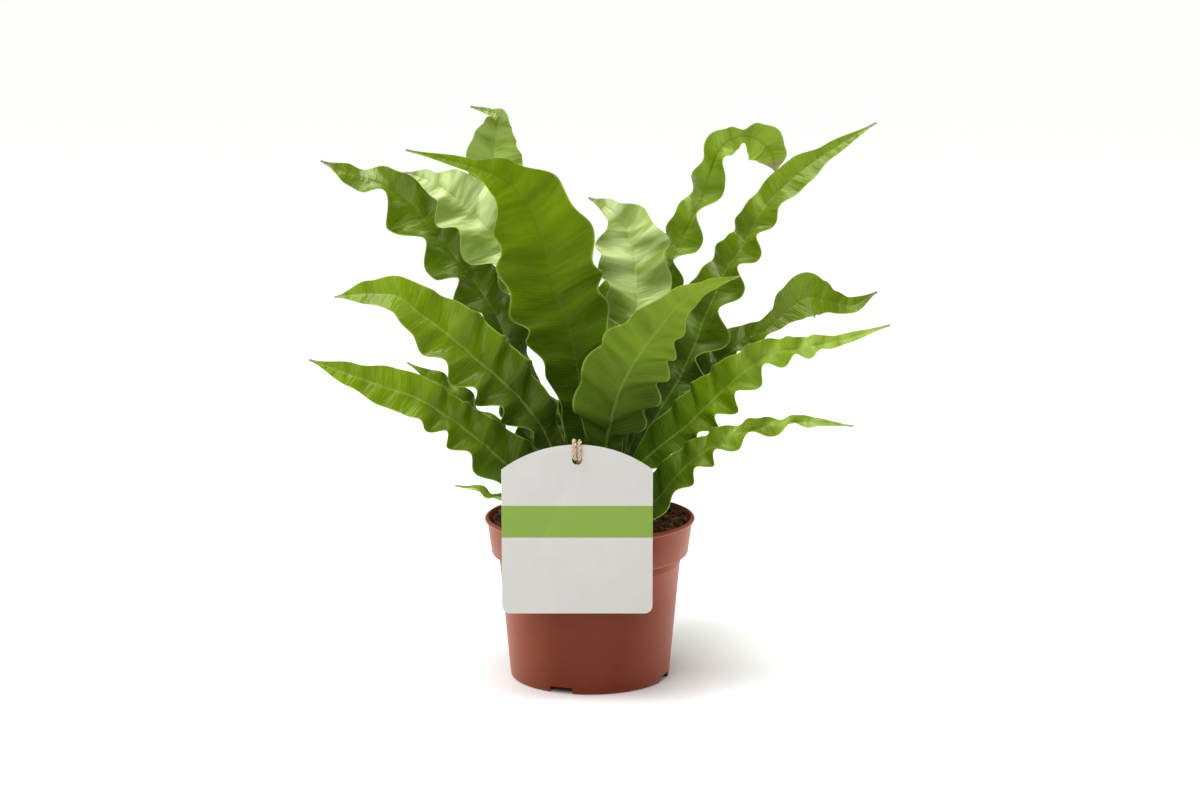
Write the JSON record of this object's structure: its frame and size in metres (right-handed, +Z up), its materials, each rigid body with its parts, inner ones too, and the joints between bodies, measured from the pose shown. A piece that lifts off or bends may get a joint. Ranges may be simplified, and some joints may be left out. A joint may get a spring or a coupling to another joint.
{
  "type": "potted crispy wave fern",
  "caption": "Young fern with long wavy strap-shaped fronds fanning out of a round tapered nursery pot, with a blank arched hang tag tied on at the front.",
  "frame": {"origin": "middle of the pot's underside", "axes": "+Z up, -Y towards the front, where the hang tag is, +X to the right of a viewer who faces the tag"},
  "size_m": [0.3227, 0.2324, 0.3216],
  "materials": {
    "pot_plastic": "satin",
    "peat": "matte",
    "rhizome": "matte",
    "leaf": "satin",
    "card": "matte",
    "twine": "matte"
  },
  "bodies": {
    "root": {"pot": "pot_plastic", "soil": "peat", "crown": "rhizome", "frond_left_high": "leaf", "frond_left_pale": "leaf", "frond_top": "leaf", "frond_centre_broad": "leaf", "frond_centre_back": "leaf", "frond_right_ruffled": "leaf", "frond_right_high": "leaf", "frond_front": "leaf", "frond_right_back": "leaf", "frond_right_long": "leaf", "frond_right_low": "leaf", "frond_left_middle": "leaf", "frond_left_low": "leaf", "frond_left_inner": "leaf", "frond_left_young": "leaf", "frond_back_left_high": "leaf", "frond_back_high": "leaf", "frond_back_right": "leaf", "frond_back_left_low": "leaf", "frond_back_low": "leaf", "frond_back_right_low": "leaf", "tag": "card", "tag_tie": "twine"}
  },
  "joints": []
}
